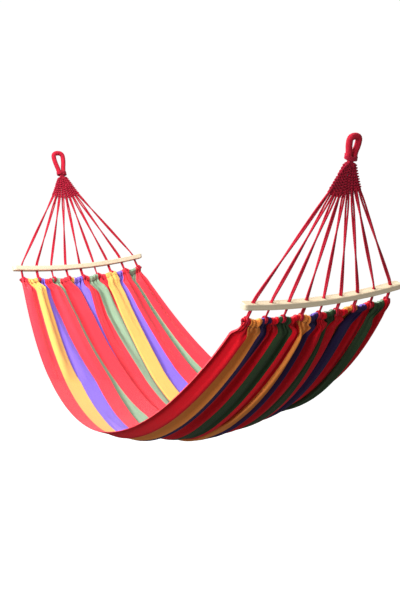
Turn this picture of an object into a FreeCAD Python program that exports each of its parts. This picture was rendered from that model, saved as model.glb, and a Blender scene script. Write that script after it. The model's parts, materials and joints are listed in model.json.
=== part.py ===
import FreeCAD, Part
import math
import os

# A hanging bed with spreader bars: millimetres, +Z up.  The origin is the left hanging point, the
# inside top of the left eye loop.  +X runs to the right hanging point, and +Y lies across the bed.
V = FreeCAD.Vector

# ---- Hanging line -------------------------------------------------------------------------------
hang_span = 2270.0          # from hanging point to hanging point, along X
line_angle = 72.0           # how steeply the nettles fall from each hanging point, degrees
lower_angle = 56.0          # how steeply the cords fall below the bar, which is heavy, degrees
twist_angle = 71.0          # slope of the line that each end twists about, degrees
hang_to_bar = 579.0         # from the hanging point to the middle of the bar's top face

# ---- Eye loops and whippings --------------------------------------------------------------------
eye_rope = 24.0                                  # diameter of the served rope
eye_drop = {"left": 114.0, "right": 78.0}        # from the hanging point to the neck
eye_opening = {"left": 26.0, "right": 16.0}      # clear width between the legs, at the top
eye_shoulder = {"left": 30.0, "right": 20.0}     # where the legs start to close, below that point
leg_gap = 0.6                                    # between the two legs where they meet
leg_straight = 14.0                              # the legs' last stretch, side by side
whipping_cover = 0.7                             # the whipping beyond the legs, each side
whipping_turn = 7.0                              # thickness of the whipping cord
whipping_turns = 3
neck_ball = 32.0                                 # diameter of the gathered knob below the whipping
neck_clearance = 0.5                             # between the knob and its seat

# ---- Clew: the woven fan below the neck ---------------------------------------------------------
clew_thickness = 14.0
clew_margin = 9.0                                # the weave beyond the outer nettles' centre lines
clew_gap_length = 16.0                           # a small opening that the weave leaves
clew_gap_width = 5.0
clew_gap_radius = 52.0                           # how far down the fan that opening lies
seat_gap = 0.3                                   # between a cord's end and what it meets

# ---- Spreader bars ------------------------------------------------------------------------------
bar_length = 720.0
bar_width = 38.0
bar_thickness = 22.0
bar_bow = 24.0                                   # how far the ends curve up towards the neck
bar_corner = 13.0
bar_edge = 3.0
bar_end_margin = 44.0                            # from the bar's end to the outer hole's centre
nettles_per_end = 9
nettle_diameter = 12.0                           # two strands side by side, as one tube
nettle_clearance = 1.0                           # between the two closest cords, at the clew
hole_clearance = 1.5                             # round a cord in its hole
hole_lead = 5.0                                  # the cord turns this far outside the bar's faces

# ---- Hem ----------------------------------------------------------------------------------------
hem_gap = 40.0                                   # from the bar to the cloth's edge, along the cords
hem_rope = 10.0
hem_rope_clearance = 0.3
rope_inset = 11.0                                # from the cloth's edge to the rope's centre
casing_depth = 30.0
casing_thickness = 18.0
cord_slot_clearance = 0.4
hem_overhang = 12.0                              # cloth beyond the outer cord's centre line
web_reach = 60.0
web_at_middle = 4.0                              # cloth below the casing before the bed begins
body_gap = 0.4                                   # between the hem's cloth and the bed's

# ---- Bed ----------------------------------------------------------------------------------------
cloth_thickness = 5.0
bed_half_width = 460.0                           # at mid-length
edge_depth = 1138.0                              # of the long edges at mid-length, below the origin
belly_depth = 95.0                               # of the middle below the long edges
sag_power = 1.95
width_power = 2.0
rows_per_half = 9
columns = 15

sides = {"left": -1, "right": 1}
mid_x = hang_span / 2
bow_radius = (bar_length ** 2 / 4 + bar_bow ** 2) / (2 * bar_bow)
bow_centre = hang_to_bar - bow_radius            # on the hanging line, in an end's own axes
kink = line_angle - lower_angle
tilt = line_angle - twist_angle
hole_pitch = (bar_length - 2 * bar_end_margin) / (nettles_per_end - 1)
hole_angle = math.degrees(hole_pitch / bow_radius)
half_count = (nettles_per_end - 1) / 2
hem_slope = math.radians(kink)


# An end is drawn in its own axes and then stood in place: x down the hanging line from the hanging
# point, y across, z square to both, towards the inside of the bed.
def stand(shape, side):
    shape = shape.copy()
    turn = FreeCAD.Placement(V(0, 0, 0), FreeCAD.Rotation(V(0, 1, 0), line_angle))
    shape.Placement = turn.multiply(shape.Placement)
    if side == "right":
        return shape.mirror(V(mid_x, 0, 0), V(1, 0, 0))
    return shape


def stand_point(point, side):
    turned = FreeCAD.Rotation(V(0, 1, 0), line_angle).multVec(point)
    return turned if side == "left" else V(hang_span - turned.x, turned.y, turned.z)


# Turns a point or shape about the bow's centre, so that what is drawn on the middle line of the
# bar lands at another place along it.
def along_bow(thing, degrees):
    centre = V(bow_centre, 0, 0)
    if isinstance(thing, FreeCAD.Vector):
        return centre + FreeCAD.Rotation(V(0, 0, 1), degrees).multVec(thing - centre)
    turned = thing.copy()
    turned.rotate(centre, V(0, 0, 1), degrees)
    return turned


# A path of straight runs joined by tangent arcs, each as large as its two runs allow.  A corner
# that doesn't turn needs no arc.
def rounded_path(points, share=0.45):
    edges = []
    radii = []
    start = points[0]
    for before, corner, after in zip(points, points[1:], points[2:]):
        back = before - corner
        ahead = after - corner
        half_turn = (math.pi - back.getAngle(ahead)) / 2
        if half_turn < 1e-6:
            continue
        reach = share * min(back.Length, ahead.Length)
        back.normalize()
        ahead.normalize()
        radius = reach / math.tan(half_turn)
        inward = (back + ahead).normalize()
        arc_start = corner + back * reach
        arc_end = corner + ahead * reach
        arc_middle = corner + inward * (radius / math.cos(half_turn) - radius)
        edges.append(Part.LineSegment(start, arc_start).toShape())
        edges.append(Part.Arc(arc_start, arc_middle, arc_end).toShape())
        radii.append(radius)
        start = arc_end
    edges.append(Part.LineSegment(start, points[-1]).toShape())
    return Part.Wire(edges), radii


def tube(points, diameter):
    path, radii = rounded_path(points)
    ring = Part.Wire(Part.makeCircle(diameter / 2, points[0], points[1] - points[0]))
    solid = path.makePipeShell([ring], True, False)
    return solid, path.Length, radii


def eye_loop(side):
    half = (eye_opening[side] + eye_rope) / 2
    top = -eye_rope / 2
    leg = (eye_rope + leg_gap) / 2
    foot = eye_drop[side] - whipping_turn * whipping_turns - body_gap - seat_gap
    route = [V(foot, -leg, 0), V(foot - leg_straight, -leg, 0),
             V(eye_shoulder[side], -half, 0), V(top, -half, 0)]
    route += [V(p.x, -p.y, 0) for p in reversed(route)]
    return tube(route, eye_rope)[0]


# A drum of rounded turns, hollowed below to seat the clew's knob.
def whipping(side):
    neck = eye_drop[side]
    radius = eye_rope + leg_gap / 2 + whipping_cover
    valley = radius - whipping_turn / 2
    top = neck - whipping_turn * whipping_turns - body_gap
    edges = [Part.LineSegment(V(top, 0, 0), V(top, valley, 0)).toShape()]
    for turn in range(whipping_turns):
        low = top + turn * whipping_turn
        high = low + whipping_turn
        crest = V((low + high) / 2, radius, 0)
        edges.append(Part.Arc(V(low, valley, 0), crest, V(high, valley, 0)).toShape())
    edges.append(Part.LineSegment(V(high, valley, 0), V(high, 0, 0)).toShape())
    edges.append(Part.LineSegment(V(high, 0, 0), V(top, 0, 0)).toShape())
    drum = Part.Face(Part.Wire(edges)).revolve(V(0, 0, 0), V(1, 0, 0), 360)
    seat = Part.makeSphere(neck_ball / 2 + neck_clearance, V(neck, 0, 0))
    return drum.cut(seat)


def hole_point(index, depth):
    return along_bow(V(hang_to_bar + depth, 0, 0), index * hole_angle)


def fan_angle(index, side):
    hole = hole_point(index, -hole_lead) - V(eye_drop[side], 0, 0)
    return math.atan2(hole.y, hole.x)


# The weave ends where the two outermost cords have spread enough to lie side by side.
outer_angles = [fan_angle(half_count, side) - fan_angle(half_count - 1, side) for side in sides]
clew_radius = (nettle_diameter + nettle_clearance) / (2 * math.sin(min(outer_angles) / 2)) - seat_gap


def clew(side):
    neck = V(eye_drop[side], 0, 0)
    spread = fan_angle(half_count, side) + math.asin(clew_margin / clew_radius)
    corner = V(math.cos(spread), math.sin(spread), 0) * clew_radius
    low = neck + V(corner.x, -corner.y, 0)
    high = neck + corner
    lift = V(0, 0, -clew_thickness / 2)
    base = Part.Arc(low + lift, neck + V(clew_radius, 0, 0) + lift, high + lift).toShape()
    sides_of_fan = [Part.LineSegment(high + lift, neck + lift).toShape(),
                    Part.LineSegment(neck + lift, low + lift).toShape()]
    fan = Part.Face(Part.Wire([base] + sides_of_fan)).extrude(V(0, 0, clew_thickness))
    slot = Part.makeBox(clew_gap_length, clew_gap_width, clew_thickness * 2,
                        neck + V(clew_gap_radius, -clew_gap_width, -clew_thickness))
    return fan.cut(slot).fuse(Part.makeSphere(neck_ball / 2, neck)).removeSplitter()


def spreader_bar():
    half = bar_width / 2
    bottom = hang_to_bar + bar_thickness
    outline = Part.makePolygon([V(hang_to_bar, 0, -half), V(bottom, 0, -half), V(bottom, 0, half),
                                V(hang_to_bar, 0, half), V(hang_to_bar, 0, -half)])
    sweep = math.degrees(bar_length / bow_radius) + 2
    blank = along_bow(Part.Face(outline), -sweep / 2).revolve(V(bow_centre, 0, 0), V(0, 0, 1), sweep)
    plan = Part.makeBox(bar_thickness * 4 + bar_bow, bar_length, bar_width,
                        V(hang_to_bar - bar_bow * 2, -bar_length / 2, -bar_width / 2))
    upright = [edge for edge in plan.Edges if abs(edge.tangentAt(edge.FirstParameter).x) > 0.99]
    blank = blank.common(plan.makeFillet(bar_corner, upright))
    bar = blank.makeFillet(bar_edge, [edge for edge in blank.Edges if edge.Length > bar_length / 2])
    drill = Part.makeCylinder(nettle_diameter / 2 + hole_clearance, bar_thickness * 3,
                              V(hang_to_bar - bar_thickness, 0, 0), V(1, 0, 0))
    return bar.cut([along_bow(drill, (index - half_count) * hole_angle) for index in range(nettles_per_end)])


# Where the lower cords run, in the plane of the middle cord: along the slope from below the bar.
def lower_line(distance, rise=0.0):
    along = V(math.cos(hem_slope), 0, math.sin(hem_slope))
    across = V(-math.sin(hem_slope), 0, math.cos(hem_slope))
    return V(hang_to_bar + bar_thickness + hole_lead, 0, 0) + along * distance + across * rise


cloth_edge = hem_gap - hole_lead
rope_at = cloth_edge + rope_inset


def nettle_route(index, side):
    turn = index * hole_angle
    neck = V(eye_drop[side], 0, 0)
    above = hole_point(index, -hole_lead)
    outward = (above - neck).normalize()
    start = neck + outward * (clew_radius + seat_gap)
    below = along_bow(lower_line(0), turn)
    end = along_bow(lower_line(rope_at - hem_rope / 2 - seat_gap), turn)
    return [start, above, below, end]


def around_bow(section, half_length):
    radius = section.CenterOfMass.x - bow_centre
    half_turn = math.degrees(half_length / radius)
    return along_bow(section, -half_turn).revolve(V(bow_centre, 0, 0), V(0, 0, 1), 2 * half_turn)


def slope_rectangle(start, end, thickness):
    corners = [lower_line(start, -thickness / 2), lower_line(end, -thickness / 2),
               lower_line(end, thickness / 2), lower_line(start, thickness / 2)]
    return Part.Face(Part.makePolygon(corners + corners[:1]))


hem_half_length = half_count * hole_pitch + hem_overhang


def hem_rope_solid():
    ring = Part.Wire(Part.makeCircle(hem_rope / 2, lower_line(rope_at), V(0, 1, 0)))
    return around_bow(Part.Face(ring), hem_half_length)


# The end's own cloth stops at a plane square to the line that the end twists about, and the bed's
# cloth starts just past it, so that one can turn against the other.
split_normal = V(math.cos(math.radians(tilt)), 0, math.sin(math.radians(tilt)))
split_at = lower_line(cloth_edge + casing_depth + web_at_middle)


def beyond_split(gap):
    big = hang_span
    block = Part.makeBox(big, 2 * big, 2 * big, V(0, -big, -big))
    turn = FreeCAD.Rotation(V(1, 0, 0), split_normal)
    block.Placement = FreeCAD.Placement(split_at + split_normal * gap, turn)
    return block


def hem_casing():
    folded = slope_rectangle(cloth_edge, cloth_edge + casing_depth, casing_thickness)
    casing = around_bow(folded, hem_half_length)
    single = slope_rectangle(cloth_edge + casing_depth - 1, cloth_edge + web_reach, cloth_thickness)
    casing = casing.fuse(around_bow(single, hem_half_length)).cut(beyond_split(0)).removeSplitter()
    channel = Part.Wire(Part.makeCircle(hem_rope / 2 + hem_rope_clearance, lower_line(rope_at), V(0, 1, 0)))
    casing = casing.cut(around_bow(Part.Face(channel), hem_half_length + hem_overhang))
    slot_radius = nettle_diameter / 2 + cord_slot_clearance
    direction = lower_line(1) - lower_line(0)
    for index in range(nettles_per_end):
        slot = Part.makeCylinder(slot_radius, rope_at, lower_line(0), direction)
        casing = casing.cut(along_bow(slot, (index - half_count) * hole_angle))
    return casing


# The bed's middle surface: across v from -1 to 1, and along u from -1 at the left hem to 1.
def bed_point(u, v):
    side = "left" if u < 0 else "right"
    reach = abs(u)
    turn = math.degrees(v * hem_half_length / bow_radius)
    hem = stand_point(along_bow(lower_line(cloth_edge + casing_depth - web_at_middle), turn), side)
    middle_z = -edge_depth - belly_depth * (1 - v * v)
    x = mid_x + (hem.x - mid_x) * reach
    y = v * bed_half_width + (hem.y - v * bed_half_width) * reach ** width_power
    z = middle_z + (hem.z - middle_z) * reach ** sag_power
    return V(x, y, z)


# The bed is one sheet, held as its two halves, which meet face to face at mid-length.
def half_bed(side):
    step = 1e-3
    upper = []
    lower = []
    for row in range(-rows_per_half, rows_per_half + 1):
        u = row / rows_per_half
        upper_row = []
        lower_row = []
        for column in range(columns):
            v = 2 * column / (columns - 1) - 1
            inner = u * (1 - step)
            along = bed_point(inner + step, v) - bed_point(inner - step, v)
            across = bed_point(inner, v + step) - bed_point(inner, v - step)
            normal = along.cross(across).normalize()
            upper_row.append(bed_point(u, v) + normal * (cloth_thickness / 2))
            lower_row.append(bed_point(u, v) - normal * (cloth_thickness / 2))
        upper.append(upper_row)
        lower.append(lower_row)
    skins = []
    for grid in (upper, lower):
        surface = Part.BSplineSurface()
        surface.interpolate(grid)
        u0, u1, v0, v1 = surface.bounds()
        middle = (u0 + u1) / 2
        if side == "left":
            surface.segment(u0, middle, v0, v1)
        else:
            surface.segment(middle, u1, v0, v1)
        skins.append(surface)
    faces = [skin.toShape() for skin in skins]
    for take in ((0, None), (1, None), (None, 0), (None, 1)):
        rims = []
        for skin in skins:
            u0, u1, v0, v1 = skin.bounds()
            if take[1] is None:
                rims.append(skin.uIso((u0, u1)[take[0]]).toShape())
            else:
                rims.append(skin.vIso((v0, v1)[take[1]]).toShape())
        faces.append(Part.makeRuledSurface(rims[0], rims[1]))
    skin = Part.Compound(faces)
    skin.sewShape()
    bed = Part.Solid(skin.Shells[0])
    if bed.Volume < 0:
        bed.reverse()
    return bed.common(stand(beyond_split(body_gap), side))


def write(name, shape):
    solids = shape.Solids
    joined = solids[0] if len(solids) == 1 else Part.Compound(solids)
    joined.exportStep("parts/" + name + ".step")
    box = joined.BoundBox
    print("%-20s solids %d valid %s volume %9.0f  x %7.1f %7.1f  y %7.1f %7.1f  z %8.1f %8.1f" % (
        name, len(solids), joined.isValid(), joined.Volume,
        box.XMin, box.XMax, box.YMin, box.YMax, box.ZMin, box.ZMax))


def main():
    os.makedirs("parts", exist_ok=True)
    bar = spreader_bar()
    rope = hem_rope_solid()
    casing = hem_casing()
    for side in sides:
        write(side + "_eye_loop", stand(eye_loop(side), side))
        write(side + "_whipping", stand(whipping(side), side))
        write(side + "_clew", stand(clew(side), side))
        write(side + "_spreader_bar", stand(bar, side))
        write(side + "_hem_rope", stand(rope, side))
        write(side + "_hem_casing", stand(casing, side))
        write(side + "_bed_cloth", half_bed(side))
        for number in range(nettles_per_end):
            solid, length, radii = tube(nettle_route(number - half_count, side), nettle_diameter)
            ratio = solid.Volume / (math.pi * nettle_diameter ** 2 / 4 * length)
            write("%s_nettle_%d" % (side, number + 1), stand(solid, side))
            print("    length %.1f volume ratio %.5f radii %s" % (length, ratio, [round(r) for r in radii]))


main()
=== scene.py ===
# %% [markdown]
# # A striped hammock between two bowed bars
# This lesson dresses a hanging bed whose working parts are already fixed: two rope eyes, two woven
# fans of cord, two bowed wooden bars and a gathered sheet of canvas.  Everything is in metres, with
# x from the left hanging point to the right one, y across the bed and z up.  Each piece is a
# formula on a grid of two parameters, so its detail can be made finer by asking for more points.

# %% Load the frame
import json
import math

import bpy
import numpy as np
from mathutils import Matrix


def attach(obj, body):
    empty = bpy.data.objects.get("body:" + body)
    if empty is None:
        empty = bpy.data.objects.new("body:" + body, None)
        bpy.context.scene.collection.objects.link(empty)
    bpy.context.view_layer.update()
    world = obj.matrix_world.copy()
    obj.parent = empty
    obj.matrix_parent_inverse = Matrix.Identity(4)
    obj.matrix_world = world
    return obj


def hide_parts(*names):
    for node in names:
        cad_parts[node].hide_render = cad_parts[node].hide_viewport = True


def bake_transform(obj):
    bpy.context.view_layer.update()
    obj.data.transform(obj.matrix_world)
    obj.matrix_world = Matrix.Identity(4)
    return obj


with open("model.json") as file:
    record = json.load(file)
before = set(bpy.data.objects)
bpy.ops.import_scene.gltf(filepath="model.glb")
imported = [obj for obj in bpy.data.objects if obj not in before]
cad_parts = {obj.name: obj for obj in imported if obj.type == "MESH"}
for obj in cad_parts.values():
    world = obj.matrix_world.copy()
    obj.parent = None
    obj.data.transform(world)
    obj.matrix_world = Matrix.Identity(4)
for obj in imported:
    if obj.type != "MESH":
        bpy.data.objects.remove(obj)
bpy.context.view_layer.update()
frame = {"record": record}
hooks = {mount["name"]: mount["pos_m"] for mount in frame["record"]["mounts"]}
span = hooks["right_hook"][0]
mid_x = span / 2

# %% [markdown]
# ## The measures of one end
# Both ends are the same but for their eyes, so they are drawn once, in an end's own axes: x down
# the hanging line from the hanging point, y across, z square to both and towards the bed.  A bar is
# a slice of a large ring, so anything that follows it is turned about that ring's centre.

# %% Measures, in metres and radians
line_angle = math.radians(72)
lower_angle = math.radians(56)
hang_to_bar = 0.579
bar_length, bar_bow, bar_thickness = 0.720, 0.024, 0.022
bow_radius = (bar_length ** 2 / 4 + bar_bow ** 2) / (2 * bar_bow)
bow_centre = hang_to_bar - bow_radius
hole_pitch, hole_lead = 0.079, 0.005
hole_turn = hole_pitch / bow_radius
nettle_diameter = 0.012
eye_drop = {"left": 0.114, "right": 0.078}
clew_radius = 0.100
sides = {"left": -1, "right": 1}
hem_slope = line_angle - lower_angle
cloth_edge, casing_depth = 0.035, 0.030
rope_at = cloth_edge + 0.011
hem_rope_diameter = 0.010
hem_half = 4 * hole_pitch + 0.012
numbers = np.arange(-4, 5)


def points(x, y, z):
    """Three coordinates of any matching shapes, joined along a last axis of length three."""
    return np.stack(np.broadcast_arrays(x, y, z), -1).astype(float)


def stand(local, side):
    """Own axes to the frame: turned about y until x falls at the line's angle.  The right end is
    the left one mirrored at mid-length."""
    x = local[..., 0] * math.cos(line_angle) + local[..., 2] * math.sin(line_angle)
    z = local[..., 2] * math.cos(line_angle) - local[..., 0] * math.sin(line_angle)
    return points(x if side == "left" else span - x, local[..., 1], z)


def along_bow(local, turn):
    """x and y swung about the bow's centre by an angle, z unchanged."""
    arm = local[..., 0] - bow_centre
    x = bow_centre + arm * np.cos(turn) - local[..., 1] * np.sin(turn)
    return points(x, arm * np.sin(turn) + local[..., 1] * np.cos(turn), local[..., 2])


def lower_line(distance, rise=0.0):
    """Below the bar the cords slope less, because the bar is heavy: a distance along that slope
    and a rise square to it."""
    start = hang_to_bar + bar_thickness + hole_lead
    x = start + distance * math.cos(hem_slope) - rise * math.sin(hem_slope)
    return points(x, 0.0, distance * math.sin(hem_slope) + rise * math.cos(hem_slope))


def unit(vectors):
    return vectors / np.linalg.norm(vectors, axis=-1, keepdims=True)


print("bow radius", round(bow_radius, 3), "m, one hole each",
      round(math.degrees(hole_turn), 3), "degrees")

# %% [markdown]
# ## The camera
# The camera stands beyond the right end and a little above the bed's rim, looking back along it,
# so the near half shows its underside and the far half its inside.  It is tilted by two degrees.

# %% The camera
look_at = np.array([1.283, 0.0, -0.632])
azimuth, elevation, roll = math.radians(57), math.radians(7.7), math.radians(-2.3)
backward = np.array([math.sin(azimuth) * math.cos(elevation),
                     -math.cos(azimuth) * math.cos(elevation), math.sin(elevation)])
right_hand = np.array([math.cos(azimuth), math.sin(azimuth), 0.0])
upward = np.cross(backward, right_hand)
across = right_hand * math.cos(roll) + upward * math.sin(roll)
up = upward * math.cos(roll) - right_hand * math.sin(roll)
camera = bpy.data.objects.new("camera", bpy.data.cameras.new("camera"))
bpy.context.scene.collection.objects.link(camera)
camera.data.sensor_width = 36.0
camera.data.lens = 63.36
place = look_at + backward * 4.437
pose = np.eye(4)
pose[:3] = np.column_stack([across, up, backward, place])
camera.matrix_world = Matrix(pose.tolist())
bpy.context.scene.camera = camera
print("camera at", np.round(place, 3).tolist())

# %% [markdown]
# ## From formula to mesh
# A grid of points becomes a mesh by joining neighbours into quads.  Tubes close round one way and
# have flat caps.  Each corner of a quad also gets a place on the piece's own map, in metres, so a
# thread or a stripe can follow the surface.  A closed shell whose volume comes out negative is
# inside out, so its quads are turned round.


# %% Grids, tubes and pieces
def grid(spots, along, across_map, round_columns=False):
    """Quads of a rows by columns grid.  along and across_map give each row's and column's place
    on the map; a round grid has one more value in across_map than it has columns."""
    rows, columns = spots.shape[:2]
    steps = columns if round_columns else columns - 1
    row, column = np.meshgrid(np.arange(rows - 1), np.arange(steps), indexing="ij")
    next_column = (column + 1) % columns
    quads = np.stack([row * columns + column, row * columns + next_column,
                      (row + 1) * columns + next_column, (row + 1) * columns + column], -1)
    u = np.stack([across_map[column], across_map[column + 1], across_map[column + 1],
                  across_map[column]], -1)
    v = np.stack([along[row], along[row], along[row + 1], along[row + 1]], -1)
    return spots.reshape(-1, 3), quads.reshape(-1, 4), np.stack([u, v], -1).reshape(-1, 4, 2)


def shell_volume(spots, quads):
    """A closed shell's volume: the sum over its triangles of a tetrahedron from the origin."""
    a, b, c, d = (spots[quads[:, k]] for k in range(4))
    first = np.einsum("ij,ij->i", a, np.cross(b, c))
    second = np.einsum("ij,ij->i", a, np.cross(c, d))
    return (first.sum() + second.sum()) / 6


def capped(spots, along, across_map):
    """A tube's grid and its two flat caps, with its faces pointing outwards."""
    places, quads, maps = grid(spots, along, across_map, round_columns=True)
    rows, columns = spots.shape[:2]
    rings = [list(range(columns))[::-1], list(range((rows - 1) * columns, rows * columns))]
    centre = places.mean(0)
    if shell_volume(places - centre, quads) < 0:
        quads, maps = quads[:, ::-1], maps[:, ::-1]
        rings = [ring[::-1] for ring in rings]
    return places, quads, maps, rings


def piece(name, parts, finish, body=None, replaces=()):
    """One object from several grids.  Each part is points, quads, maps and perhaps caps."""
    places, faces, maps = [], [], []
    count = 0
    for part in parts:
        places.append(part[0])
        faces += (part[1] + count).tolist()
        maps += part[2].reshape(-1, 2).tolist()
        count += len(part[0])
    count = 0
    for part in parts:
        for ring in part[3] if len(part) > 3 else ():
            faces.append([count + corner for corner in ring])
            maps += [[0.0, 0.0]] * len(ring)
        count += len(part[0])
    mesh = bpy.data.meshes.new(name)
    mesh.from_pydata(np.concatenate(places).tolist(), [], faces)
    mesh.uv_layers.new(name="map").data.foreach_set("uv", np.array(maps, np.float32).ravel())
    mesh.polygons.foreach_set("use_smooth", np.ones(len(faces), bool))
    mesh.materials.append(finish)
    made = bpy.data.objects.new(name, mesh)
    bpy.context.scene.collection.objects.link(made)
    if body:
        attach(made, body)
    if replaces:
        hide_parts(*replaces)
    print(name, len(mesh.polygons), "faces")
    return made


def tube(path, radius, up_vector, around=16, turn=0.0):
    """Rings round a path.  radius is a number or an array of rings by points round; up_vector is
    any direction that the path never runs along; turn rolls the rings."""
    tangent = unit(np.gradient(path, axis=0))
    side_way = unit(np.cross(np.broadcast_to(up_vector, path.shape), tangent))
    up_way = np.cross(tangent, side_way)
    angle = np.linspace(0, 2 * np.pi, around, endpoint=False)[None, :] + np.reshape(turn, (-1, 1))
    size = np.broadcast_to(radius, (len(path), around))[..., None]
    spots = path[:, None] + size * (np.cos(angle)[..., None] * side_way[:, None]
                                    + np.sin(angle)[..., None] * up_way[:, None])
    length = np.concatenate([[0], np.cumsum(np.linalg.norm(np.diff(path, axis=0), axis=1))])
    girth = np.linspace(0, 2 * np.pi * float(np.mean(size)), around + 1)
    return capped(spots, length, girth)


def evenly(path, step):
    """The same line with its points an even step apart, and each point's distance along it."""
    length = np.concatenate([[0], np.cumsum(np.linalg.norm(np.diff(path, axis=0), axis=1))])
    wanted = np.linspace(0, length[-1], max(8, int(round(length[-1] / step))) + 1)
    return np.stack([np.interp(wanted, length, path[:, axis]) for axis in range(3)], -1), wanted


def smooth_line(route, step):
    """A route's NURBS curve, read as points.  The order and the end rule are set after them."""
    curve = bpy.data.curves.new("route", "CURVE")
    curve.dimensions = "3D"
    curve.resolution_u = 32
    spline = curve.splines.new("NURBS")
    spline.points.add(len(route) - 1)
    spline.points.foreach_set("co", np.column_stack([route, np.ones(len(route))]).ravel())
    spline.order_u = 3
    spline.use_endpoint_u = True
    holder = bpy.data.objects.new("route", curve)
    line = bpy.data.meshes.new_from_object(holder)
    spots = np.zeros(len(line.vertices) * 3)
    line.vertices.foreach_get("co", spots)
    bpy.data.objects.remove(holder)
    bpy.data.curves.remove(curve)
    bpy.data.meshes.remove(line)
    return evenly(spots.reshape(-1, 3), step)


def smoothstep(value):
    """0 below 0, 1 above 1, and 3v^2 - 2v^3 between them."""
    value = np.clip(value, 0, 1)
    return value * value * (3 - 2 * value)


# %% [markdown]
# ## Shader sums as Python sums
# A node tree is easier to read as a formula.  A small class wraps a socket, so that adding or
# multiplying two of them adds the Math node that does it, and one method makes any other node.


# %% A socket that can be added and multiplied
class Wire:
    """A socket of one finish.  Sums on it make Math nodes, also with a number on the left."""

    def __init__(self, finish, socket):
        self.finish = finish
        self.socket = socket

    def math(self, operation, *values):
        return self.finish.node("ShaderNodeMath", {"operation": operation}, *values)

    def __add__(self, other):
        return self.math("ADD", self, other)

    def __sub__(self, other):
        return self.math("SUBTRACT", self, other)

    def __rsub__(self, other):
        return self.math("SUBTRACT", other, self)

    def __mul__(self, other):
        return self.math("MULTIPLY", self, other)

    def __truediv__(self, other):
        return self.math("DIVIDE", self, other)

    def __mod__(self, other):
        return self.math("FLOORED_MODULO", self, other)

    def __pow__(self, other):
        return self.math("POWER", self, other)

    __radd__ = __add__
    __rmul__ = __mul__

    def sine(self):
        return self.math("SINE", self)

    def above(self, edge):
        return self.math("GREATER_THAN", self, edge)

    def below(self, edge):
        return self.math("LESS_THAN", self, edge)

    def floor(self):
        return self.math("FLOOR", self)


class Finish:
    """A material built from wires, with a Principled shader at its end."""

    def __init__(self, name, **settings):
        self.material = bpy.data.materials.new(name)
        self.material.use_nodes = True
        self.tree = self.material.node_tree
        self.shader = self.tree.nodes["Principled BSDF"]
        for socket, value in settings.items():
            self.shader.inputs[socket.replace("_", " ")].default_value = value

    def feed(self, socket, value):
        if isinstance(value, Wire):
            self.tree.links.new(value.socket, socket)
        elif value is not None:
            socket.default_value = value

    def node(self, kind, settings, *values, output=0, **named):
        made = self.tree.nodes.new(kind)
        for key, value in settings.items():
            if key == "stops":
                self.set_stops(made.color_ramp, value)
            else:
                setattr(made, key, value)
        for socket, value in zip(made.inputs, values):
            self.feed(socket, value)
        for key, value in named.items():
            self.feed(made.inputs[key.replace("_", " ")], value)
        return Wire(self, made.outputs[output])

    def set_stops(self, ramp, stops):
        ramp.interpolation = stops[0]
        while len(ramp.elements) < len(stops) - 1:
            ramp.elements.new(0.5)
        for element, (place, colour) in zip(ramp.elements, stops[1:]):
            element.position = place
            element.color = (*colour, 1.0)

    def mix(self, share, first, second, blend="MIX"):
        """A colour between two others."""
        made = self.tree.nodes.new("ShaderNodeMix")
        made.data_type = "RGBA"
        made.blend_type = blend
        sockets = [made.inputs[index] for index in (0, 6, 7)]
        for socket, value in zip(sockets, (share, first, second)):
            self.feed(socket, (*value, 1.0) if isinstance(value, tuple) else value)
        return Wire(self, made.outputs[2])

    def noise(self, vector, scale, detail=2.0):
        return self.node("ShaderNodeTexNoise", {}, Vector=vector, Scale=scale, Detail=detail)

    def split(self, vector):
        made = self.node("ShaderNodeSeparateXYZ", {}, vector)
        return [Wire(self, made.socket.node.outputs[axis]) for axis in range(3)]

    def join(self, *parts):
        return self.node("ShaderNodeCombineXYZ", {}, *parts)

    def map(self):
        return self.node("ShaderNodeUVMap", {"uv_map": "map"})

    def place(self):
        """The object's own coordinates, in metres."""
        return self.node("ShaderNodeTexCoord", {}, output=3)

    def bump(self, height, depth):
        return self.node("ShaderNodeBump", {}, Height=height, Distance=depth, Strength=1.0)

    def surface(self, colour, roughness=None, bump=None):
        for socket, value in (("Base Color", colour), ("Roughness", roughness), ("Normal", bump)):
            self.feed(self.shader.inputs[socket], value)
        return self.material


print("wires and finishes ready")

# %% [markdown]
# ## Dyed cord
# The cords are soft spun cotton, dyed crimson.  Their plies are real ridges in the mesh; the finish
# adds fine fibre lines along each ply, painted lighter on their crests and darker between them as
# painted shade, and random faded patches.


# %% Dyed cord
def cord_finish(name, dye, faded, fibre=900.0):
    """Fibres are sine lines on the piece's own map, slanted across its length; slow noise fades
    the dye from dye to faded."""
    finish = Finish(name, Roughness=0.88, Sheen_Weight=0.12, Sheen_Roughness=0.4,
                    Specular_IOR_Level=0.25)
    around, along, _ = finish.split(finish.map())
    fibres = ((around + along * 0.6) * fibre).sine() * 0.5 + 0.5
    patches = finish.noise(finish.place(), 60.0, 3.0)
    # Random faded patches are the dye's own; the fibre lines add painted shade between the fibres.
    fading_and_fibre_shade = patches * 0.75 + fibres * 0.25
    colour = finish.mix(fading_and_fibre_shade, dye, faded)
    height = fibres * 0.5 + finish.noise(finish.place(), 900.0, 1.0)
    return finish.surface(colour, None, finish.bump(height, 0.0004))


crimson = cord_finish("crimson_cord", (0.27, 0.001, 0.010), (0.60, 0.012, 0.042))
deep_crimson = cord_finish("deep_crimson_cord", (0.20, 0.001, 0.012), (0.50, 0.008, 0.040))
print("cords", crimson.name, deep_crimson.name)

# %% [markdown]
# ## The nettles
# Nine cords fan out from each neck, pass through the bar and end round the rope in the hem.  Each
# is one cord doubled, so two strands run side by side and slowly twine.  Each follows a route of a
# few points: straight from the fan to the bar, a slight turn there, and straight to the hem.  The
# point on the long run keeps the turn close to the bar, where the hole makes it.


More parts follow.
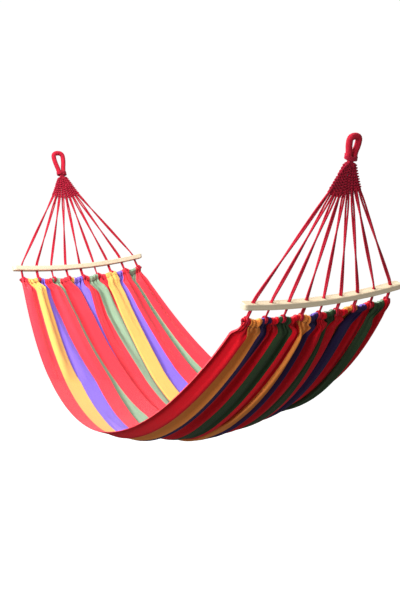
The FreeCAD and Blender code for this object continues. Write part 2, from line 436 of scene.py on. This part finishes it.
# %% The nettles' routes and strands
def nettle_route(number, side):
    """Start at the fan's rim, one point six diameters above the bar, then above and below the
    bar, and the hem rope."""
    turn = number * hole_turn
    neck = points(eye_drop[side], 0.0, 0.0)
    above = along_bow(points(hang_to_bar - hole_lead, 0.0, 0.0), turn)
    outward = unit(above - neck)
    below = along_bow(lower_line(0.0), turn)
    end = along_bow(lower_line(rope_at - hem_rope_diameter / 2 - 0.0003), turn)
    run = [neck + outward * (clew_radius + 0.0003), above - outward * 6 * nettle_diameter]
    return stand(np.stack(run + [above, below, end]), side)


def laid_radius(distance, size, plies, lay, around, phase=0.0):
    """A laid strand's outline: plies rounded lobes with sharp valleys, turning once in each lay
    length."""
    angle = np.linspace(0, 2 * np.pi, around, endpoint=False)[None, :]
    lobe = np.abs(np.cos(plies / 2 * (angle - 2 * np.pi * distance[:, None] / lay + phase)))
    return size * (0.86 + 0.17 * lobe)


def twin_strands(path, distance, up_vector, size, apart, twine, around=12, lay=0.030):
    """Two laid strands, each half of apart from the middle line, turned about it by twine."""
    tangent = unit(np.gradient(path, axis=0))
    side_way = unit(np.cross(np.broadcast_to(up_vector, path.shape), tangent))
    up_way = np.cross(tangent, side_way)
    offset = np.cos(twine)[:, None] * side_way + np.sin(twine)[:, None] * up_way
    strands = []
    for hand in (-1, 1):
        line = path + hand * offset * np.reshape(apart / 2, (-1, 1))
        outline = laid_radius(distance, size, 3, lay, around, hand)
        strands.append(tube(line, outline, up_vector, around))
    return strands


strand, path_step, twine_length = 0.0036, 0.0024, 0.60
for side in sides:
    inwards = stand(points(0.0, 0.0, 1.0), side) - stand(points(0.0, 0.0, 0.0), side)
    lengths = []
    for number in numbers:
        route = nettle_route(number, side)
        path, distance = smooth_line(route, path_step)
        opening = 1.0 + 0.35 * np.exp(-((distance - 0.06) / 0.05) ** 2)
        twine = 2 * np.pi * distance / twine_length + 0.9 * math.sin(2.3 * number + sides[side])
        strands = twin_strands(path, distance, inwards, strand, 1.75 * strand * opening, twine)
        name = "%s_nettle_%d" % (side, number + 5)
        made = piece(name + "_cord", strands, crimson, side + "_end", [name])
        lengths.append(round(float(distance[-1]), 3))
    print(side, "nettles", lengths)

# %% [markdown]
# ## The cloth's resting shape
# The bed is a rectangle of canvas, gathered at each end onto a rope.  Its middle surface is the one
# that the working model uses: a line across at mid-length that sags between the long edges, joined
# to each bowed hem by a curve that steepens towards the bar.

# %% The middle surface
edge_depth, belly_depth, bed_half_width = 1.138, 0.095, 0.460
sag_power, web_at_middle = 1.95, 0.004
bed_top = cloth_edge + casing_depth - web_at_middle


def sag_between(width):
    """The hem's rope sags a little between its cords: a squared sine, nought at every cord."""
    return 0.010 * np.sin(np.pi * width / hole_pitch) ** 2


def middle_surface(side, reach, across_bed):
    """across_bed runs from -1 to 1.  At reach 1 the line lies along the hem, at 0 along the bed's
    middle; x goes evenly, y by a square and z by the sag's power."""
    width = across_bed * hem_half
    local = along_bow(lower_line(bed_top), width / bow_radius)
    hem = stand(local, side)
    middle_z = -edge_depth - belly_depth * (1 - across_bed ** 2)
    x = mid_x + (hem[..., 0] - mid_x) * reach
    y = across_bed * bed_half_width + (hem[..., 1] - across_bed * bed_half_width) * reach ** 2
    return points(x, y, middle_z + (hem[..., 2] - middle_z) * reach ** sag_power)


def middle_normal(side, reach, across_bed, step=1e-4):
    """Square to the middle surface and pointing into the bed, from two small steps on it."""
    inner = reach * (1 - 2 * step)
    along = middle_surface(side, inner + step, across_bed) - middle_surface(side, inner, across_bed)
    over = (middle_surface(side, inner, across_bed + step)
            - middle_surface(side, inner, across_bed - step))
    normal = unit(np.cross(along, over))
    return normal * np.sign(normal[..., 2:3])


flat_width, flat_length = 1.25, 2.26
stripe_count = 16
stripe = flat_width / stripe_count
reach_line = np.linspace(0, 1, 400)
centre_line = middle_surface("left", reach_line, np.zeros(400))
print("hem to mid-length along the centre",
      round(float(np.linalg.norm(np.diff(centre_line, axis=0), axis=1).sum()), 3), "m")

# %% [markdown]
# ## Pleats walked along a slope
# A gathered sheet keeps its width: where the bed is narrower than the cloth, the spare goes into
# pleats.  So each line across the cloth is bent by a slope angle and walked along that angle: the
# cosine moves it across and the sine in and out.  In a pleat the angle swings to half a turn, so
# the cloth doubles back under itself and comes forward again, and the stripes there are hidden.
# What the pleats leave over goes into soft ruffles, whose size is found by halving until the walk
# is as wide as the bed is there, as nearly as the ruffles' limit allows.  Taking off the broad
# trend changes lengths a little, so the cloth's width is kept nearly, not exactly.  The cut width
# and the pleats were listed one by one: no draping of the cloth was computed.

# %% The pleats
# Each pleat: a stripe edge, the share of the pleat's width that lies before that edge, the turn it
# makes in half circles (above nought it rises into the bed), and its width in stripes at eight
# stations from the left hem to the right.
stations = np.array([-1.0, -0.85, -0.5, -0.25, 0.0, 0.5, 0.85, 1.0])
pleats = ((2.00, 0, -1.0, (0.30, 0.20, 0.00, 0.00, 0.00, 0.00, 0.00, 0.00)),
          (2.30, 0, 1.0, (0.00, 0.00, 0.00, 0.00, 0.10, 0.28, 0.26, 0.18)),
          (4.00, 0, -1.0, (0.28, 0.32, 0.30, 0.08, 0.00, 0.00, 0.00, 0.00)),
          (5.30, 0, 1.0, (0.00, 0.00, 0.00, 0.00, 0.00, 0.14, 0.18, 0.22)),
          (6.05, 0, -1.0, (0.60, 0.84, 0.95, 0.98, 0.98, 0.22, 0.08, 0.08)),
          (7.30, 0, 1.0, (0.00, 0.00, 0.00, 0.00, 0.00, 0.08, 0.16, 0.20)),
          (8.60, 0, -1.0, (0.14, 0.10, 0.00, 0.00, 0.00, 0.00, 0.00, 0.00)),
          (8.90, 0, 1.0, (0.00, 0.00, 0.00, 0.00, 0.00, 0.12, 0.18, 0.22)),
          (11.0, 1, 1.0, (0.36, 0.55, 0.84, 0.94, 0.92, 0.72, 0.58, 0.42)),
          (12.0, 0, -1.0, (0.34, 0.26, 0.10, 0.00, 0.00, 0.10, 0.20, 0.24)),
          (14.0, 0, -1.0, (0.34, 0.32, 0.24, 0.16, 0.05, 0.14, 0.20, 0.24)))
turn_length, trend_width = 0.28, 0.085
steepest, halvings = 3.1, 30
ruffle_count, billow_count = 46, 15


def pleat_slopes(side, reach, flat):
    """A turn of slope between a pleat's two folds, each fold eased over its own short length."""
    place = flat * stripe_count
    slopes = np.zeros(np.broadcast_shapes(reach.shape, flat.shape))
    gather = 1 - 0.45 * smoothstep((reach - 0.97) / 0.03)
    for edge, before, half_turns, widths in pleats:
        width = np.interp(reach * sides[side], stations, widths) * gather
        first = edge - before * width
        bend = (smoothstep((place - first) / turn_length + 0.5)
                - smoothstep((place - first - width) / turn_length + 0.5))
        slopes = slopes + half_turns * np.pi * bend
    return slopes


def open_share(side, reach, flat):
    """1 where the cloth lies single and 0 within a pleat, so that no ruffle pokes through one."""
    place = flat * stripe_count
    share = np.ones(np.broadcast_shapes(reach.shape, flat.shape))
    for edge, before, half_turns, widths in pleats:
        width = np.interp(reach * sides[side], stations, widths)
        first = edge - before * width
        inside = (smoothstep((place - first + width + 0.15) / 0.3)
                  * smoothstep((first + 2 * width + 0.15 - place) / 0.3))
        share = share * (1 - inside * smoothstep(width / 0.12))
    return share


def ruffle_slopes(side, reach, flat):
    """Fine ruffles within a hand's breadth of the hem, and broad billows beyond them."""
    fine = np.exp(-((1 - reach) * 1.1 / 0.040) ** 2)
    wander = 0.5 * np.sin(11 * np.pi * flat + sides[side]) + 0.4 * np.sin(26 * np.pi * flat + 1)
    ruffles = np.sin(2 * np.pi * ruffle_count * flat + 1.6 * wander) * (1 + 0.3 * np.sin(40 * flat))
    billows = np.sin(2 * np.pi * billow_count * flat + 1.3 * wander + 0.8) * (1 + 0.35 * wander)
    share = open_share(side, reach, flat)
    return ruffles * fine * (0.45 + 0.55 * share) + 0.8 * billows * (1 - fine) * share


def walk_folds(side, reach, flat):
    """Where each point of the flat cloth comes to: across_bed from -1 to 1, and how far it lies
    from the middle surface, once the broad trend is taken off.  The trend depends only on the place
    across the bed, so a pleat's layers keep their distance.  reach is a column, flat a row."""
    over = np.linspace(-1, 1, 201)[None, :]
    line = middle_surface(side, reach, over)
    wide = np.linalg.norm(np.diff(line, axis=1), axis=2).sum(1)[:, None]
    fixed, free = pleat_slopes(side, reach, flat), ruffle_slopes(side, reach, flat)
    low, high = np.zeros_like(reach), np.full_like(reach, 1.9)
    for _ in range(halvings):
        middle = (low + high) / 2
        angle = np.clip(fixed + middle * free, -steepest, steepest)
        too_wide = np.cos(angle).mean(1, keepdims=True) * flat_width > wide
        low, high = np.where(too_wide, middle, low), np.where(too_wide, high, middle)
    angle = np.clip(fixed + free * low, -steepest, steepest)
    step = np.diff(flat, axis=1) * flat_width
    middles = (angle[:, 1:] + angle[:, :-1]) / 2
    start = np.zeros_like(reach)
    sideways = np.concatenate([start, np.cumsum(np.cos(middles) * step, axis=1)], axis=1)
    inward = np.concatenate([start, np.cumsum(np.sin(middles) * step, axis=1)], axis=1)
    apart = (sideways[:, :, None] - sideways[:, None, :]) / trend_width
    weight = np.exp(-apart ** 2 / 2)
    trend = np.einsum("rij,rj->ri", weight, inward) / weight.sum(2)
    return 2 * sideways / sideways[:, -1:] - 1, inward - trend


def cloth_points(side, reach, flat):
    """The pleated cloth: the middle surface at the walked place, moved along its normal, and let
    down near the hem by the rope's own sag."""
    across_bed, inward = walk_folds(side, reach, flat)
    spots = middle_surface(side, reach, across_bed)
    normal = middle_normal(side, reach, across_bed)
    let_down = sag_between(across_bed * hem_half) * np.exp(-(1 - reach) / 0.06)
    slope_way = stand(lower_line(1.0), side) - stand(lower_line(0.0), side)
    return spots + normal * inward[..., None] + slope_way * let_down[..., None]


test_reach = np.array([[1.0], [0.95], [0.5], [0.0]])
_, test_inward = walk_folds("left", test_reach, np.linspace(0, 1, 401)[None, :])
print("fold depths at hem, near it, half way and mid-length",
      np.round(np.ptp(test_inward, axis=1), 3))

# %% [markdown]
# ## Striped canvas
# The stripes are dyed warp threads, so the colour depends only on the place across the flat cloth,
# which every point carries on its map.  The face that lies to the sky gets lighter dyes, painted
# light, and the under face darker ones, painted shade: a lit and a shaded copy of one cloth.  A
# plain weave and a few thick threads give the surface its grain.

# %% Striped canvas
# The first set is painted light for the face to the sky, the second painted shade for the under
# face.
painted_light_dyes = {"red": (0.89, 0.036, 0.058), "yellow": (0.92, 0.50, 0.12),
              "violet": (0.22, 0.13, 0.66), "green": (0.27, 0.40, 0.26)}
painted_shade_dyes = {"red": (0.70, 0.000, 0.010), "yellow": (0.88, 0.28, 0.050),
             "violet": (0.024, 0.010, 0.070), "green": (0.026, 0.058, 0.020)}
order = ("red", "yellow", "violet", "red", "green")


def canvas_finish(name, dyes, sheen):
    """Five stripes repeat across the cloth; thread noise is stretched along the warp."""
    finish = Finish(name, Roughness=0.92, Sheen_Weight=sheen, Sheen_Roughness=0.5,
                    Specular_IOR_Level=0.2)
    over, along, _ = finish.split(finish.map())
    fray = finish.noise(finish.join(over * 900.0, along * 60.0, 0.0), 1.0, 1.0) * 0.012
    band = (over / stripe + fray) % 5.0
    stops = ["CONSTANT"] + [(place / 5, dyes[dye]) for place, dye in enumerate(order)]
    colour = finish.node("ShaderNodeValToRGB", {"stops": stops}, band / 5.0)
    threads = finish.noise(finish.join(over * 700.0, along * 14.0, 0.0), 1.0, 2.0)
    weft = finish.noise(finish.join(over * 12.0, along * 500.0, 4.0), 1.0, 2.0)
    slubs = finish.noise(finish.join(over * 170.0, along * 3.0, 8.0), 1.0, 3.0)
    cast = finish.noise(finish.place(), 5.0, 3.0)
    shade = (threads * 0.24 + slubs * 0.16 + weft * 0.16 + cast * 0.14) + 0.65
    colour = finish.mix(1.0, colour, finish.join(shade, shade, shade), "MULTIPLY")
    pitch = 2 * math.pi / 0.0016
    weave = (over * pitch).sine() * (along * pitch).sine()
    height = weave * 0.5 + threads * 0.7 + weft * 0.7
    return finish.surface(colour, None, finish.bump(height, 0.0005))


# Lit and shaded copies of one canvas: painted light on the upper face, painted shade on the under
# face.
canvas_in = canvas_finish("canvas_painted_light", painted_light_dyes, 0.2)
canvas_out = canvas_finish("canvas_painted_shade", painted_shade_dyes, 0.04)
print("canvas", canvas_in.name, canvas_out.name)

# %% [markdown]
# ## The bed
# The sheet is made as its two halves, one for each end.
# They share the line at mid-length.  Solidify gives the canvas its thickness and its under face
# the darker dyes, which are painted shade.  The border's edges are sharp, so the cut edge doesn't
# darken the cloth beside it.

# %% The bed's halves
columns, rows = 480, 100
row_power, half_share, inner_share = 1.9, 0.55, 0.45
flat = np.linspace(0, 1, columns)[None, :]
spread_rows = np.linspace(0, 1, rows)
reach = (1 - (1 - half_share * spread_rows) ** row_power) / (1 - inner_share ** row_power)
reach = reach[:, None]
beds = {}
for side in sides:
    spots = cloth_points(side, reach, flat)
    middle = spots[:, columns // 2]
    along = np.concatenate([[0], np.cumsum(np.linalg.norm(np.diff(middle, axis=0), axis=1))])
    places, quads, maps = grid(spots, along * sides[side], np.linspace(0, flat_width, columns))
    if side == "right":
        quads, maps = quads[:, ::-1], maps[:, ::-1]
    bed = piece(side + "_bed_half", [(places, quads, maps)], canvas_in,
                replaces=[side + "_bed_cloth"])
    # The under face takes the canvas with painted shade.
    bed.data.materials.append(canvas_out)
    ends = np.zeros(len(bed.data.edges) * 2, np.int32)
    bed.data.edges.foreach_get("vertices", ends)
    row, column = np.divmod(ends.reshape(-1, 2), columns)
    border = [(row == 0), (row == rows - 1), (column == 0), (column == columns - 1)]
    bed.data.edges.foreach_set("use_edge_sharp", np.any([b.all(1) for b in border], axis=0))
    beds[side] = bed
    print(side, "half of the bed is", round(float(along[-1]), 3), "m along its centre")

# %% [markdown]
# ## The bed's thickness
# When an end twists, the hem goes with it and the middle stays.  Here each half is given a live
# thickness and is baked in place.

# %% Thickness
bed_thickness, hem_thickness = 0.0016, 0.0012


def thicken(made, depth, offset, far_side):
    """A live Solidify.  far_side is how many places the added side's material moves on."""
    shell = made.modifiers.new("thickness", "SOLIDIFY")
    shell.thickness = depth
    shell.offset = offset
    shell.material_offset = far_side


for side, bed in beds.items():
    thicken(bed, bed_thickness, 0.0, 1)
    hem_line = stand(lower_line(bed_top + 0.008), side)
    inner = middle_surface(side, np.array(0.45), np.array(0.0))
    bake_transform(bed)

# %% [markdown]
# ## The hem
# The canvas is folded over the rope and sewn down, so the hem is one more stretch of the same
# cloth: up from the seam, over the rope and back.  Its section is a drop, round at the rope and
# closed at the seam.  It carries the same map as the bed, so the stripes run on over the rope.


# %% The folded hem
seam_at, hem_round = 0.0625, 0.0088
hem_columns, hem_rows = 480, 27


def hem_points(side, turn, flat):
    """turn runs from 1 at the inner seam through 0 over the rope to -1 at the outer seam; flat
    runs across the cloth.  The cloth is puffed between the cords and drawn in tight at each."""
    across_bed, inward = walk_folds(side, np.array([[1.0]]), flat)
    width = across_bed * hem_half
    cord_near = np.cos(np.pi * width / hole_pitch) ** 8
    gathers = np.sin(2 * np.pi * ruffle_count * flat + 1.2 * np.sin(9 * np.pi * flat))
    puff = (1.0 + 0.16 * gathers + 0.25 * (1 - cord_near)) * (1 - 0.16 * cord_near)
    below = np.clip((np.abs(turn) - 0.5) / 0.5, 0, 1)
    crown = np.cos(np.pi * np.clip(turn, -0.5, 0.5))
    depth = rope_at - hem_round * puff * crown + (seam_at - rope_at) * below
    closing = 1 - 0.86 * smoothstep(below)
    rise = np.sin(np.pi * np.clip(turn, -0.5, 0.5)) * hem_round * puff * closing
    rise = rise + inward * (0.25 + 0.75 * below)
    local = lower_line(depth + sag_between(width), rise)
    return stand(along_bow(local, width / bow_radius), side)


turn = np.linspace(1, -1, hem_rows)[:, None]
hem_flat = np.linspace(0, 1, hem_columns)[None, :]
for side in sides:
    spots = hem_points(side, turn, hem_flat)
    along = 1.13 + turn[:, 0] * 0.03
    places, quads, maps = grid(spots, along, np.linspace(0, flat_width, hem_columns))
    if side == "left":
        quads, maps = quads[:, ::-1], maps[:, ::-1]
    hem = piece(side + "_folded_hem", [(places, quads, maps)], canvas_in, side + "_end",
                [side + "_hem_casing"])
    # The hem's outer turns take the canvas with painted shade, its inner turns the one with painted
    # light.
    hem.data.materials.append(canvas_out)
    face_turn = np.repeat((turn[1:, 0] + turn[:-1, 0]) / 2, hem_columns - 1)
    hem.data.polygons.foreach_set("material_index", (face_turn < 0).astype(np.int32))
    thicken(hem, hem_thickness, -1.0, 0)

# %% [markdown]
# ## The seam
# One row of thread holds each fold down; its near-black colour is partly the thread's own and partly
# painted shade for the groove along the seam.  The stitches are short, fat in the middle and sunk
# at their ends, and follow every gather of the hem.

# %% The stitches
stitch_count = 150


def stitches(side, turn_at, proud):
    """Spindles laid along the hem at one turn, each two thirds of its pitch long and proud of the
    cloth at its middle."""
    middles = (np.arange(stitch_count) + 0.5) / stitch_count
    step = 0.33 / stitch_count
    lift = np.linspace(0, 1, 5)
    flat = middles[:, None] + step * (2 * lift[None, :] - 1)
    line = hem_points(side, np.array([[turn_at]]), flat.reshape(1, -1))[0]
    line = line.reshape(stitch_count, 5, 3)
    outward = stand(lower_line(0.0, proud), side) - stand(lower_line(0.0), side)
    line = line + outward * np.sin(np.pi * lift)[None, :, None]
    return [tube(one, 0.0015 * np.sin(np.pi * (0.12 + 0.76 * lift))[:, None], outward, 5)
            for one in line]


# Near-black thread: partly its own colour, partly painted shade for the seam's groove.
thread_finish = Finish("thread_and_seam_shade", Roughness=0.7, Specular_IOR_Level=0.3)
_, thread_along, _ = thread_finish.split(thread_finish.map())
thread_ply = (thread_along * 4000.0).sine() * 0.5 + 0.5
thread_colour = thread_finish.mix(thread_ply, (0.010, 0.006, 0.012), (0.06, 0.03, 0.05))
thread_and_seam_shade = thread_finish.surface(thread_colour)
for side in sides:
    rows_of = stitches(side, 0.93, 0.0018) + stitches(side, -0.93, -0.0018)
    piece(side + "_hem_seam", rows_of, thread_and_seam_shade, side + "_end")

# %% [markdown]
# ## The hem rope and its hitches
# The rope lies in the fold and shows at its two ends.  Each cord goes round hem and rope in two
# turns that pinch the cloth, and that's what scallops the hem.


# %% Hem ropes and hitches
def hem_rope_line(side):
    """The rope's middle line, sagging between the cords with the fold."""
    width = np.linspace(-hem_half - 0.006, hem_half + 0.006, 300)
    within = np.clip(width, -4 * hole_pitch, 4 * hole_pitch)
    return stand(along_bow(lower_line(rope_at + sag_between(within)), width / bow_radius), side)


def hitch_line(side, number, turns=2, size=0.0118):
    """A loop about the rope, drawn out into a short helix along it."""
    angle = np.linspace(-0.75 * np.pi, (2 * turns - 1.25) * np.pi, 26 * turns)
    shift = (angle / (2 * np.pi) - (turns - 2) / 2 - 0.25) * 0.0062
    local = lower_line(rope_at - size * np.cos(angle) * 1.08, size * np.sin(angle))
    return stand(along_bow(local, number * hole_turn + shift / bow_radius), side)


for side in sides:
    path, distance = evenly(hem_rope_line(side), 0.0016)
    outline = laid_radius(distance, hem_rope_diameter / 2, 3, 0.034, 18)
    square = stand(lower_line(0.0, 1.0), side) - stand(lower_line(0.0), side)
    piece(side + "_rope_in_hem", [tube(path, outline, square, 18)], deep_crimson,
          side + "_end", [side + "_hem_rope"])
    loops = []
    for number in numbers:
        path, distance = evenly(hitch_line(side, number), 0.0014)
        loops.append(tube(path, laid_radius(distance, 0.0033, 3, 0.022, 10), (0.13, 1.0, 0.07), 10))
    piece(side + "_hitches", loops, crimson, side + "_end")

# %% [markdown]
# ## The eyes
# Each end hangs by a loop of thick rope, served along its whole length: a thin cord is wound tight
# round it, turn against turn.  The ridges are drawn in the mesh, each turn a half circle.


# %% Served eyes
eye_rope, leg_apart = 0.024, 0.0246
eye_opening = {"left": 0.026, "right": 0.016}
eye_shoulder = {"left": 0.030, "right": 0.020}


def served_radius(distance, core, pitch, around):
    """A rope of one core size with cord of one pitch wound round it."""
    angle = np.linspace(0, 2 * np.pi, around, endpoint=False)[None, :]
    return core + 0.0013 * np.abs(np.sin(np.pi * distance[:, None] / pitch - angle / 2))


for side in sides:
    foot = eye_drop[side] - 0.0217
    half = (eye_opening[side] + eye_rope) / 2
    shoulder = eye_shoulder[side]
    outside = [(foot, -leg_apart / 2), (foot - 0.014, -leg_apart / 2), (shoulder, -half),
               (-eye_rope / 2, -half)]
    outside += [(x, -y) for x, y in outside[::-1]]
    route = np.array([(x, y, 0.0) for x, y in outside])
    path, distance = smooth_line(route, 0.0009)
    path = stand(path, side)
    square = stand(points(0.0, 0.0, 1.0), side)
    square = square - stand(points(0.0, 0.0, 0.0), side)
    served = tube(path, served_radius(distance, 0.0107, 0.0042, 26), square, 26)
    piece(side + "_served_eye", [served], crimson, "anchors", [side + "_eye_loop"])

# %% [markdown]
# ## The whippings
# Below each eye its two legs are bound together by a few hard turns, with the end of the cord
# tucked back across them.

# %% Whippings
whipping_turns, whipping_cord = 3.25, 0.0068


def whipping_line(side):
    """A helix on an oval about both legs, and a tail that crosses it."""
    angle = np.linspace(0, 2 * np.pi * whipping_turns, 150)
    x = eye_drop[side] - 0.0240 + 0.0048 * angle / (2 * np.pi) + 0.0018 * np.cos(angle + 0.6)
    wound = points(x, 0.0232 * np.cos(angle), 0.0150 * np.sin(angle))
    tail_turn = np.linspace(0.7, 2.3, 40)
    tail = points(eye_drop[side] - 0.0045 - 0.009 * tail_turn, 0.0228 * np.cos(tail_turn),
                  0.0190 * np.sin(tail_turn))
    return stand(wound, side), stand(tail, side)


for side in sides:
    hanging_way = stand(points(1.0, 0.0, 0.0), side) - stand(points(0.0, 0.0, 0.0), side)
    turns = []
    for line in whipping_line(side):
        path, distance = evenly(line, 0.0015)
        outline = laid_radius(distance, whipping_cord / 2, 3, 0.02, 12)
        turns.append(tube(path, outline, hanging_way, 12))
    piece(side + "_bound_neck", turns, deep_crimson, "anchors",
          [side + "_whipping"])

# %% [markdown]
# ## The woven fans
# From the neck to the free cords, both strands of every cord are woven with a weft that goes over
# one cord and under the next, turns at the edge and comes back.  Near the neck the strands lie in
# a packed bundle; the weave opens as they spread.

# %% Woven fans
weft_size, weave_start, weft_pitch = 0.0031, 0.013, 0.0052
strand_half_apart = 0.0033
bundle_edge, bundle_step, layer_apart = 0.0170, 0.0068, 0.005


def strand_angles(side):
    """The direction of each of the eighteen strands from the neck, in the plane of the fan."""
    neck = points(eye_drop[side], 0.0, 0.0)
    aims = []
    for number in numbers:
        above = along_bow(points(hang_to_bar - hole_lead, 0.0, 0.0), number * hole_turn)
        way = unit(above - neck)
        middle = math.atan2(way[1], way[0])
        half = strand_half_apart / clew_radius
        aims += [middle - half, middle + half]
    return np.array(aims)


def warp_line(side, place, aim):
    """From its place in the bundle out to its place on the fan, in own axes.  Inside the whipping
    the bundle is narrow, so that it can turn there when the bed swings."""
    distance = np.linspace(-0.010, clew_radius + 0.026, 69)
    spread = 0.38 + 0.62 * smoothstep((distance - 0.001) / 0.013)
    layer = layer_apart * (place % 3 - 1) * (1 - smoothstep(distance / 0.075))
    beside = (-bundle_edge + bundle_step * (place // 3)) * spread
    packed = points(np.minimum(distance, 0.0), beside, 0.0)
    rim = points(math.cos(aim), math.sin(aim), 0.0) * np.maximum(distance, clew_radius)[:, None]
    share = np.clip(distance / clew_radius, 0, 1)[:, None]
    return packed * (1 - share) + rim * share + points(eye_drop[side], 0.0, layer)


def weft_line(side, aims, start, stop, first, last):
    """Rows of one weft between two strands: its height follows a cosine along each row, and it
    changes sides at each row's end."""
    warps = np.stack([warp_line(side, place, aim) for place, aim in enumerate(aims)])
    warps = warps - points(eye_drop[side], 0.0, 0.0)
    away = np.linalg.norm(warps[..., :2], axis=-1) * np.sign(warps[..., 0])
    rows_here = np.arange(start, stop, weft_pitch)
    pieces_of = []
    for number, row in enumerate(rows_here):
        met = np.array([[np.interp(row, away[k], warps[k, :, axis]) for axis in range(2)]
                        for k in range(18)])
        met = met[np.argsort(met[:, 1])][first:last + 1]
        rim = 0.0045 * unit(met[-1] - met[0])
        met = np.concatenate([[met[0] - rim], met, [met[-1] + rim]])
        count = np.linspace(first - 1, last + 1, 10 * len(met))
        marks = np.arange(first - 1.0, last + 2.0)
        flat_line = [np.interp(count, marks, met[:, axis]) for axis in range(2)]
        packed = 0.0052 * (1 - smoothstep(row / 0.05))
        height = (0.0044 + packed) * np.cos(np.pi * (count / 2 + number))
        line = points(flat_line[0], flat_line[1], height)
        pieces_of.append(line if number % 2 == 0 else line[::-1])
    return stand(np.concatenate(pieces_of) + points(eye_drop[side], 0.0, 0.0), side)


for side in sides:
    aims = strand_angles(side)
    square = stand(points(0.0, 0.0, 1.0), side) - stand(points(0.0, 0.0, 0.0), side)
    woven = []
    for place, aim in enumerate(aims):
        path, distance = evenly(stand(warp_line(side, place, aim), side), 0.002)
        woven.append(tube(path, laid_radius(distance, 0.0035, 3, 0.030, 10), square, 10))
    for start, stop, first, last in ((weave_start, 0.046, 0, 17), (0.0465, 0.066, 0, 7),
                                     (0.0465, 0.066, 10, 17), (0.0665, 0.118, 0, 17)):
        path, distance = evenly(weft_line(side, aims, start, stop, first, last), 0.0018)
        woven.append(tube(path, laid_radius(distance, weft_size, 3, 0.016, 8), square, 8))
    piece(side + "_woven_fan", woven, deep_crimson,
          side + "_end", [side + "_clew"])

# %% [markdown]
# ## The bars
# Each bar is bent from thin leaves of pale beech, glued and clamped on a curved former, then
# rounded, sanded and oiled.  So its grain and its glue lines follow the bow: the finish turns
# position into a distance from the bow's centre and a distance round it.


# %% Laminated beech
leaf_depth = 0.0055


def beech_finish(side):
    """Leaves of slightly different wood, one leaf depth apart, and fine pores along the bow."""
    finish = Finish(side + "_beech", Roughness=0.5, Coat_Weight=0.12, Coat_Roughness=0.35,
                    Specular_IOR_Level=0.4)
    x, y, z = finish.split(finish.place())
    if side == "right":
        x = span - x
    down = x * math.cos(line_angle) - z * math.sin(line_angle) - bow_centre
    square = x * math.sin(line_angle) + z * math.cos(line_angle)
    radius = (down * down + y * y) ** 0.5
    round_bow = y.math("ARCTAN2", y, down) * bow_radius
    leaf = ((radius - (hang_to_bar - bow_centre)) / leaf_depth).floor()
    grain_place = finish.join(round_bow * 7.0, radius * 420.0 + leaf * 3.0, square * 120.0)
    grain = finish.noise(grain_place, 1.0, 4.0)
    figure_place = finish.join(round_bow * 2.0 + leaf * 5.0, radius * 60.0, square * 34.0)
    figure = finish.noise(figure_place, 1.0, 2.0)
    pores = finish.noise(finish.join(round_bow * 60.0, radius * 1800.0, square * 900.0), 1.0, 1.0)
    pores = pores.above(0.62)
    glue = ((radius / leaf_depth) % 1.0).below(0.06)
    colour = finish.mix(figure * 0.8 + leaf.sine() * 0.15, (0.83, 0.70, 0.47), (0.93, 0.84, 0.66))
    colour = finish.mix(grain * 0.5, colour, (0.62, 0.44, 0.24))
    colour = finish.mix(pores * 0.25, colour, (0.40, 0.25, 0.12))
    colour = finish.mix(glue * 0.45, colour, (0.45, 0.29, 0.15))
    height = grain * 0.4 - pores * 0.5 - glue * 0.8
    roughness = grain * 0.2 + 0.40
    return finish.surface(colour, roughness, finish.bump(height, 0.00025))


for side in sides:
    bar = bpy.data.objects[side + "_spreader_bar"]
    bar.data.materials.clear()
    bar.data.materials.append(beech_finish(side))
print("bars finished")

# %% [markdown]
# ## Stage and light
# A pale bowl of floor curves up all round the bed.  The main light stands beside the bed, low enough
# for each fold to throw its shadow on the next stripe; a broad one above and another at the front
# fill in.  The dyes and the lights were tuned together, so neither is a measured value.

# %% Stage and lights
floor_z, floor_flat, floor_rim = -2.4, 12.0, 22.0
ring = np.linspace(0, 2 * np.pi, 97)[:-1]
level, rising = np.linspace(0.5, floor_flat, 8), np.linspace(floor_flat + 0.4, floor_rim, 24)
arm = np.concatenate([[0.02], level, rising])[:, None]
climb = np.clip((arm - floor_flat) / (floor_rim - floor_flat), 0, 1)
bowl = points(mid_x + arm * np.cos(ring), arm * np.sin(ring), floor_z + 12.0 * climb ** 2)
floor_finish = Finish("pale_floor", Roughness=0.95, Emission_Strength=0.72)
floor_finish.shader.inputs["Emission Color"].default_value = (1.0, 1.0, 1.0, 1.0)
speckle = floor_finish.noise(floor_finish.place(), 3.0, 4.0)
pale_floor = floor_finish.surface(floor_finish.mix(speckle, (0.93, 0.93, 0.93), (0.97, 0.97, 0.97)))
places, quads, maps = grid(bowl, np.arange(len(arm)) * 1.0, np.arange(97) * 1.0, round_columns=True)
floor_mesh = bpy.data.meshes.new("floor")
floor_mesh.from_pydata(places.tolist(), [], quads.tolist() + [list(range(96))[::-1]])
floor_mesh.polygons.foreach_set("use_smooth", np.ones(len(quads) + 1, bool))
floor_mesh.materials.append(pale_floor)
floor = bpy.data.objects.new("floor", floor_mesh)
floor.visible_diffuse = floor.visible_glossy = floor.visible_shadow = False
bpy.context.scene.collection.objects.link(floor)

world = bpy.data.worlds.new("studio")
world.use_nodes = True
world.node_tree.nodes["Background"].inputs["Color"].default_value = (1, 1, 1, 1)
world.node_tree.nodes["Background"].inputs["Strength"].default_value = 0.29
bpy.context.scene.world = world
bpy.context.scene.view_settings.view_transform = "Standard"


def soft_light(name, spot, aim, size, power):
    """A round area light at one point, turned towards another."""
    light = bpy.data.objects.new(name, bpy.data.lights.new(name, "AREA"))
    light.data.shape = "DISK"
    light.data.size, light.data.energy = size, power
    forward = unit(np.array(spot) - np.array(aim))
    side_way = unit(np.cross((0.1, 1.0, 0.02), forward))
    turned = np.eye(4)
    turned[:3] = np.column_stack([side_way, np.cross(forward, side_way), forward, spot])
    light.matrix_world = Matrix(turned.tolist())
    bpy.context.scene.collection.objects.link(light)


soft_light("above", (1.1, -0.5, 2.2), (1.1, 0.0, -0.8), 1.8, 75)
soft_light("beside", (0.9, -3.0, 0.9), (0.9, 0.0, -0.7), 0.8, 140)
soft_light("front", (3.4, -3.2, 0.6), (1.4, 0.0, -0.9), 1.4, 90)
print("stage and lights ready")
